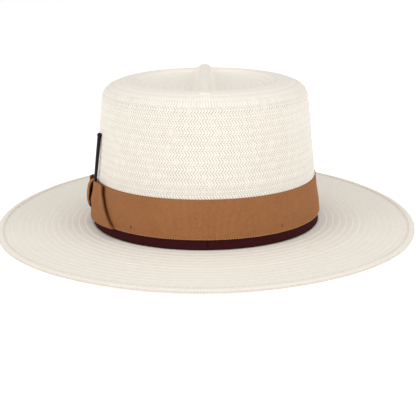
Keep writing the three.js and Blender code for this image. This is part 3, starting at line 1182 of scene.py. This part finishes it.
def stitches(
    name: str, centres: Array, half_runs: Array, radius: float
) -> Piece:
    """Many short lengths of thread in one mesh.

    Args:
        name: The object's name.
        centres: Middle of each stitch, in millimetres.
        half_runs: From the middle of each stitch to its end.
        radius: Of the thread.

    Returns:
        The object.
    """
    thread = bmesh.new()
    bmesh.ops.create_uvsphere(thread, u_segments=6, v_segments=5, radius=1.0)
    shell = bmesh.new()
    form = bpy.data.meshes.new("thread")
    for centre, half_run in zip(centres, half_runs):
        length = float(np.linalg.norm(half_run))
        place = along(Vector(centre), Vector(half_run))
        place @= Matrix.Diagonal((radius * MM, radius * MM, length * MM, 1.0))
        copy = thread.copy()
        bmesh.ops.transform(copy, matrix=place, verts=copy.verts)
        copy.to_mesh(form)
        copy.free()
        shell.from_mesh(form)
    thread.free()
    bpy.data.meshes.remove(form)
    return finish_mesh(name, shell)


@dataclass
class Ribbons:
    """The narrow burgundy ribbon and the wide camel one over it."""

    under_columns: int = 1944
    hat_columns: int = 1992
    weave: Weave = Weave(pitch=RIB_PITCH, height=0.12, reach=0.3, uneven=0.03, strands_per_tooth=2)
    outer_shares: tuple[float, ...] = (0.0, 0.03, 0.12, 0.25, 0.4, 0.55, 0.7, 0.85, 0.97, 1.0)
    inner_shares: tuple[float, ...] = (1.0, 0.6, 0.3)
    thread_rise: float = 0.1
    thread_radius: float = 0.3
    tacks: tuple[tuple[float, float], ...] = ((-127.5, 17.0), (-52.0, 17.0))
    tack_length: float = 2.6
    seams: tuple[tuple[float, float], ...] = ((-89.4, 9.4),)
    seam_length: float = 7.0
    picot_place: float = 12.85
    picot_pitch: float = 1.95
    picot_radius: float = 0.42
    picot_half_length: float = 0.504

    def band(
        self, name: str, edges: tuple[float, float], inset: Any, columns: int, seed: int
    ) -> Piece:
        """A ribbon round the crown.

        Args:
            name: The object's name.
            edges: Heights of its lower and upper edge.
            inset: Function from heights to the distance of its inner face from the wall.
            columns: Number of mesh columns round it.
            seed: Number that fixes how the ribs differ.

        Returns:
            The object.
        """
        outer = RibbonFace(inset, RIBBON_WALL - self.weave.height)
        inner = RibbonFace(inset, RIBBON_WALL - RIBBON_CLOTH)
        lines = []
        # Painted shade: in the gaps between the outer face's ribs, and over the ribbon's back
        for share in self.outer_shares:
            shape = RowLine(share, strand=1.0, open=0.8, reach=0.0 if share else -1.0)
            lines.append(Line(outer, blend(*edges, share), shape=shape))
        back = RowLine(shade=0.3)
        lines += [Line(inner, blend(*edges, share), shape=back) for share in self.inner_shares]
        lines += [Line(inner, edges[0], shape=back._replace(reach=-1.0)), lines[0]]
        return woven_piece(name, lines, columns, self.weave, seed)

    def picots(self) -> Piece:
        """The small loops of yarn along the wide ribbon's lower edge, coloured lighter than the
        ribbon as a painted highlight.

        Returns:
            The object.
        """
        face = RibbonFace(hat_band_inset, RIBBON_WALL - self.thread_rise)
        centres = even_points(face, self.picot_place, self.picot_pitch)
        upwards = np.broadcast_to([0.0, 0.0, self.picot_half_length], centres.shape)
        return stitches("camel_picots", centres, upwards, self.picot_radius)

    def upright_stitches(
        self, name: str, face: RibbonFace, spots: Sequence[tuple[float, float]], length: float
    ) -> Piece:
        """Stitches that stand upright on a ribbon.

        Args:
            name: The object's name.
            face: The face that they lie on.
            spots: The angle in degrees and the height of each one's middle.
            length: Of each stitch.

        Returns:
            The object.
        """
        angles, heights = np.transpose(spots)
        low = face.points(heights - length / 2, np.radians(angles))
        high = face.points(heights + length / 2, np.radians(angles))
        return stitches(name, (low + high) / 2, (high - low) / 2, self.thread_radius)

    def build(self, finishes: Finishes) -> None:
        """Makes the ribbons and their stitches, and dresses them.

        Args:
            finishes: The hat's materials.
        """
        under = self.band(
            "burgundy_ribbon", UNDER_BAND_EDGES, under_band_inset, self.under_columns, 11
        )
        dress(under, finishes.burgundy, "burgundy_ribbon", "under_band")
        wide = self.band("camel_ribbon", HAT_BAND_EDGES, snug_inset, self.hat_columns, 13)
        dress(wide, finishes.camel, "camel_ribbon", "hat_band")
        face = RibbonFace(hat_band_inset, RIBBON_WALL + self.thread_rise)
        tacks = self.upright_stitches("tack_stitches", face, self.tacks, self.tack_length)
        dress(tacks, finishes.brown, "camel_ribbon")
        dress(self.picots(), finishes.picot, "camel_ribbon")
        face = RibbonFace(under_band_inset, RIBBON_WALL + self.thread_rise / 2)
        seam = self.upright_stitches("burgundy_seam", face, self.seams, self.seam_length)
        dress(seam, finishes.maroon, "burgundy_ribbon")


def bow_points(heights: Array, stand_offs: Array, angles: Array) -> Array:
    """Points in millimetres over the wide ribbon, at degrees from the bow's middle backwards."""
    ovals = grown(wall_ovals(heights), hat_band_face(heights) + stand_offs)
    return oval_points(ovals, math.pi + np.radians(BOW_ANGLE + angles))


class WingRow(NamedTuple):
    """A line along the wing: its heights at the knot and at the free edge, and their angles."""

    root_height: float
    tip_height: float
    tip_angle: float
    root_angle: float


class KnotRow(NamedTuple):
    """A line across the knot: its height, its distance from the ribbon, and half its width."""

    height: float
    stand_off: float
    half_angle: float


@dataclass
class Bow:
    """A flat bow: two wings of folded ribbon and the loop of ribbon round its middle."""

    wing_rows: tuple[WingRow, ...] = (
        WingRow(9.4, 13.0, 28.1, 0.1),
        WingRow(12.4, 15.6, 25.6, 0.1),
        WingRow(18.0, 21.0, 22.2, 0.3),
        WingRow(25.0, 27.0, 18.9, 1.2),
        WingRow(32.0, 33.8, 16.2, 2.6),
        WingRow(39.8, 40.0, 16.0, 4.6),
    )
    knot_rows: tuple[KnotRow, ...] = (
        KnotRow(18.6, 0.9, 2.4),
        KnotRow(19.2, 2.1, 3.2),
        KnotRow(20.7, 3.2, 4.2),
        KnotRow(23.5, 4.2, 5.4),
        KnotRow(27.0, 4.9, 6.0),
        KnotRow(32.0, 4.9, 5.8),
        KnotRow(35.6, 4.1, 4.0),
        KnotRow(37.6, 2.6, 2.7),
        KnotRow(38.4, 0.9, 2.4),
    )
    wing_lines: int = 25
    wing_ribs: int = 46
    end_lift: float = 2.1
    front_drop: float = 3.0
    fold: float = 1.5
    fold_lines: int = 7
    fold_bulge: float = 0.018
    under_end: float = 0.4
    under_lines: int = 31
    under_inset: float = 0.5
    back_puff: float = 2.2
    front_puff: float = 3.2
    puff_angles: tuple[float, float] = (5.0, 12.0)
    puff_heights: tuple[float, float] = (14.0, 27.0)
    crease_height: float = 0.25
    crease_turn: float = 5.2
    crease_start: float = 0.6
    crease_fade: float = 4.0
    knot_lines: int = 17
    knot_ribs: int = 34
    knot_softness: float = 1.4
    knot_turn: float = -2.0
    knot_width: float = 0.65
    pleat_height: float = 0.3
    pleat_turn: float = 7.0
    pleat_margin: float = 0.4
    rib_height: float = 0.12
    rib_shade: float = 0.8
    columns_per_rib: int = 3

    def wing(self, name: str, side: float) -> Piece:
        """A wing of ribbon that is folded back under itself at its free edge.

        Args:
            name: The object's name.
            side: 1 for the wing towards the back, -1 for the one towards the front.

        Returns:
            The object.
        """
        table = SmoothTable(range(len(self.wing_rows)), self.wing_rows, 1.0)
        rows = table.at(np.linspace(0.0, len(self.wing_rows) - 1, self.wing_lines))[:, None, :]
        outer = np.linspace(0.0, 1.0, self.wing_ribs * self.columns_per_rib + 1)
        turn = np.linspace(0.0, math.pi, self.fold_lines + 2)[1:-1]
        under = np.linspace(1.0, self.under_end, self.under_lines)
        part = np.concatenate([outer, 1.0 + self.fold_bulge * np.sin(turn), under])
        share = np.concatenate([0.0 * outer, (1.0 - np.cos(turn)) / 2, np.ones(under.size)])
        steps = np.arange(part.size)
        rib = np.where(steps < outer.size, dome(steps, self.columns_per_rib), 0.0)
        edges = np.linspace(-1.0, 1.0, self.wing_lines)[:, None]
        drop = self.front_drop * part if side < 0 else 0.0
        heights = blend(rows[..., 0], rows[..., 1] - drop, part)
        heights = heights - edges * soft_step(share, 0.0, 1.0) * self.under_inset
        angles = side * blend(rows[..., 3], rows[..., 2], part)
        puff = self.back_puff if side > 0 else self.front_puff
        puff = puff * (1.0 - soft_step(np.abs(angles), *self.puff_angles))
        puff = puff * soft_step(heights, *self.puff_heights)
        wave = np.sin(edges * self.crease_turn + self.crease_start)
        crease = self.crease_height * wave * np.exp(-self.crease_fade * part)
        lift = SEAT_GAP + RIBBON_CLOTH + self.end_lift * part**2 - self.fold * share
        return self.cloth(name, heights, lift + puff + crease, angles, steps, edges, rib, side)

    def knot(self) -> Piece:
        """The loop of ribbon round the bow's middle, which stands clear, open at its sides.

        Returns:
            The object.
        """
        table = SmoothTable(range(len(self.knot_rows)), self.knot_rows, self.knot_softness)
        steps = np.arange(self.knot_ribs * self.columns_per_rib + 1)[:, None]
        rows = table.at(steps * (len(self.knot_rows) - 1) / steps[-1])
        across = np.linspace(-1.0, 1.0, self.knot_lines)
        inside = soft_step(1.0 - np.abs(across), 0.0, self.pleat_margin)
        pleat = self.pleat_height * np.cos(across * self.pleat_turn) * inside
        angles = self.knot_turn + self.knot_width * rows[..., 2] * across
        rib = dome(steps, self.columns_per_rib)
        return self.cloth(
            "bow_knot_ribbon", rows[..., 0], rows[..., 1] + pleat, angles, steps, across, rib, -1.0
        )

    def cloth(
        self, name: str, heights: Array, stand_offs: Array, angles: Array,
        steps: Array, across: Array, rib: Array, side: float,
    ) -> Piece:
        """A sheet of ribbon with its thickness and its ribs.

        Args:
            name: The object's name.
            heights: Heights of its outer face on the crown.
            stand_offs: Distances from the ribbon below.
            angles: Degrees from the bow's middle towards the back.
            steps: Number of each mesh line that runs along a rib.
            across: Places along the ribs.
            rib: How high each point lies on its rib, from 0 to 1.
            side: -1 where the rows and columns make a face that looks inwards.

        Returns:
            The object.
        """
        heights = np.broadcast_to(heights, angles.shape)
        points = bow_points(heights, stand_offs + rib * self.rib_height, angles)
        uvs = np.stack(np.broadcast_arrays(steps / self.columns_per_rib, across), -1)
        gaps = np.broadcast_to(self.rib_shade * (1.0 - rib), angles.shape)
        shell = grid_shell(points, uvs, gaps)
        if side < 0:
            bmesh.ops.reverse_faces(shell, faces=shell.faces)
        bmesh.ops.solidify(shell, geom=shell.faces[:], thickness=RIBBON_CLOTH * MM)
        bmesh.ops.recalc_face_normals(shell, faces=shell.faces)
        return finish_mesh(name, shell)

    def build(self, finishes: Finishes) -> None:
        """Makes the wings and the knot, and dresses them.

        Args:
            finishes: The hat's materials.
        """
        for name, side, node in (("bow_wing_back_ribbon", 1.0, "bow_wing_back"),
                                 ("bow_wing_front_ribbon", -1.0, "bow_wing_front")):
            wing = self.wing(name, side)
            dress(wing, finishes.camel, "camel_ribbon", node)
        knot = self.knot()
        dress(knot, finishes.camel, "camel_ribbon", "bow_knot")


@dataclass
class TrimStick:
    """The slim turned stick with a round head that stands in the bow's knot."""

    head: tuple[float, float, float] = (-77.9, -27.6, 74.2)
    end: tuple[float, float, float] = (-83.0, -30.0, 29.0)
    head_radius: float = 1.85
    neck_radius: float = 1.5
    end_radius: float = 1.0
    rings: int = 24
    head_rings: int = 9
    sides: int = 32
    bend: float = 0.35

    def build(self, finishes: Finishes) -> None:
        """Turns the stick, leans it into place and dresses it.

        Args:
            finishes: The hat's materials.
        """
        run = Vector(self.head) - Vector(self.end)
        length = run.length
        neck_angle = math.asin(self.neck_radius / self.head_radius)
        neck = length - self.head_radius * math.cos(neck_angle)
        outline = [(0.0, 0.0)]
        for share in np.linspace(0.0, 1.0, self.rings + 1):
            outline.append((blend(self.end_radius, self.neck_radius, share), neck * share))
        for angle in np.linspace(math.pi - neck_angle, 0.0, self.head_rings + 1)[1:]:
            height = length + self.head_radius * math.cos(angle)
            outline.append((self.head_radius * math.sin(angle), height))
        shell = bmesh.new()
        made = [shell.verts.new((x * MM, 0.0, z * MM)) for x, z in outline]
        edges = [shell.edges.new(pair) for pair in zip(made, made[1:])]
        bmesh.ops.spin(shell, geom=made + edges, axis=(0, 0, 1), cent=(0, 0, 0),
                       angle=2.0 * math.pi, steps=self.sides, use_merge=True)
        bmesh.ops.remove_doubles(shell, verts=shell.verts, dist=1e-6)
        for vertex in shell.verts:
            vertex.co.x += self.bend * MM * math.sin(math.pi * vertex.co.z / (length * MM))
        bmesh.ops.transform(shell, matrix=along(Vector(self.end), run), verts=shell.verts)
        bmesh.ops.recalc_face_normals(shell, faces=shell.faces)
        dress(finish_mesh("trim_stick_wood", shell), finishes.wood, "black_wood", "trim_stick")


def aimed(place: Vector, target: Vector) -> Matrix:
    """A place, turned to face a target."""
    turn = (target - place).to_track_quat("-Z", "Y").to_matrix().to_4x4()
    return Matrix.Translation(place) @ turn


@dataclass
class Studio:
    """A pale floor, soft light and the camera. Softboxes are in metres and watts."""

    eye: tuple[float, float, float] = (0.0, -871.25, 257.14)
    target: tuple[float, float, float] = (0.0, 0.0, 43.8)
    roll: float = -0.009
    lens: float = 101.354
    sensor: float = 36.0
    shift: tuple[float, float] = (0.006, -0.1026)
    floor_size: float = 12.0
    floor_depth: float = -0.0002
    floor_glow: float = 0.38
    side_box: tuple[float, float, float] = (1.65, -1.3, 0.95)
    side_size: float = 1.2
    side_power: float = 15.0
    top_box: tuple[float, float, float] = (0.0, -0.1, 2.0)
    top_size: float = 1.6
    top_power: float = 10.5
    light_target: tuple[float, float, float] = (0.0, 0.0, 0.06)
    sky: float = 0.5

    def camera(self) -> None:
        """Puts the camera where the photograph was taken from."""
        data = bpy.data.cameras.new("camera")
        data.lens = self.lens
        data.sensor_width = self.sensor
        data.shift_x, data.shift_y = self.shift
        camera = in_scene("camera", data)
        level = aimed(Vector(self.eye) * MM, Vector(self.target) * MM)
        camera.matrix_world = level @ Matrix.Rotation(self.roll, 4, "Z")
        bpy.context.scene.camera = camera

    def floor(self) -> None:
        """Lays a pale floor under the hat: a matt sheet that is lit from below as well."""
        shell = bmesh.new()
        bmesh.ops.create_grid(shell, x_segments=1, y_segments=1, size=self.floor_size / 2)
        bmesh.ops.translate(shell, verts=shell.verts, vec=(0.0, 0.0, self.floor_depth))
        floor = finish_mesh("studio_floor", shell)
        glow = {"Emission Color": linear("#ffffff"), "Emission Strength": self.floor_glow}
        tree = MaterialTree("matt_white_acrylic")
        floor.data.materials.append(tree.surface(linear("#fbfbfb"), 0.9, 0.5, more=glow))

    def softbox(self, name: str, place: Vector, size: float, power: float) -> None:
        """Hangs a square soft light that faces the hat.

        Args:
            name: The light's name.
            place: Where it hangs.
            size: Length of its side.
            power: Its power.
        """
        data = bpy.data.lights.new(name, "AREA")
        data.size = size
        data.energy = power
        in_scene(name, data).matrix_world = aimed(place, Vector(self.light_target))

    def build(self) -> None:
        """Makes the camera, the floor and the lights."""
        self.camera()
        self.floor()
        right = Vector(self.side_box)
        left = Vector((-right.x, right.y, right.z))
        self.softbox("left_softbox", left, self.side_size, self.side_power)
        self.softbox("right_softbox", right, self.side_size, self.side_power)
        self.softbox("top_softbox", Vector(self.top_box), self.top_size, self.top_power)
        world = bpy.data.worlds.new("studio")
        world.use_nodes = True
        backdrop = world.node_tree.nodes["Background"]
        backdrop.inputs["Color"].default_value = (1.0, 1.0, 1.0, 1.0)
        backdrop.inputs["Strength"].default_value = self.sky
        bpy.context.scene.world = world
        bpy.context.scene.view_settings.view_transform = "Standard"


def main() -> None:
    """Builds the hat's parts in order, and the studio."""
    logging.basicConfig(level=logging.INFO, format="%(name)s %(message)s")
    finishes = Finishes()
    Studio().build()
    Brim().build(finishes)
    Crown().build(finishes)
    Ribbons().build(finishes)
    Bow().build(finishes)
    TrimStick().build(finishes)


if __name__ == "__main__":
    main()
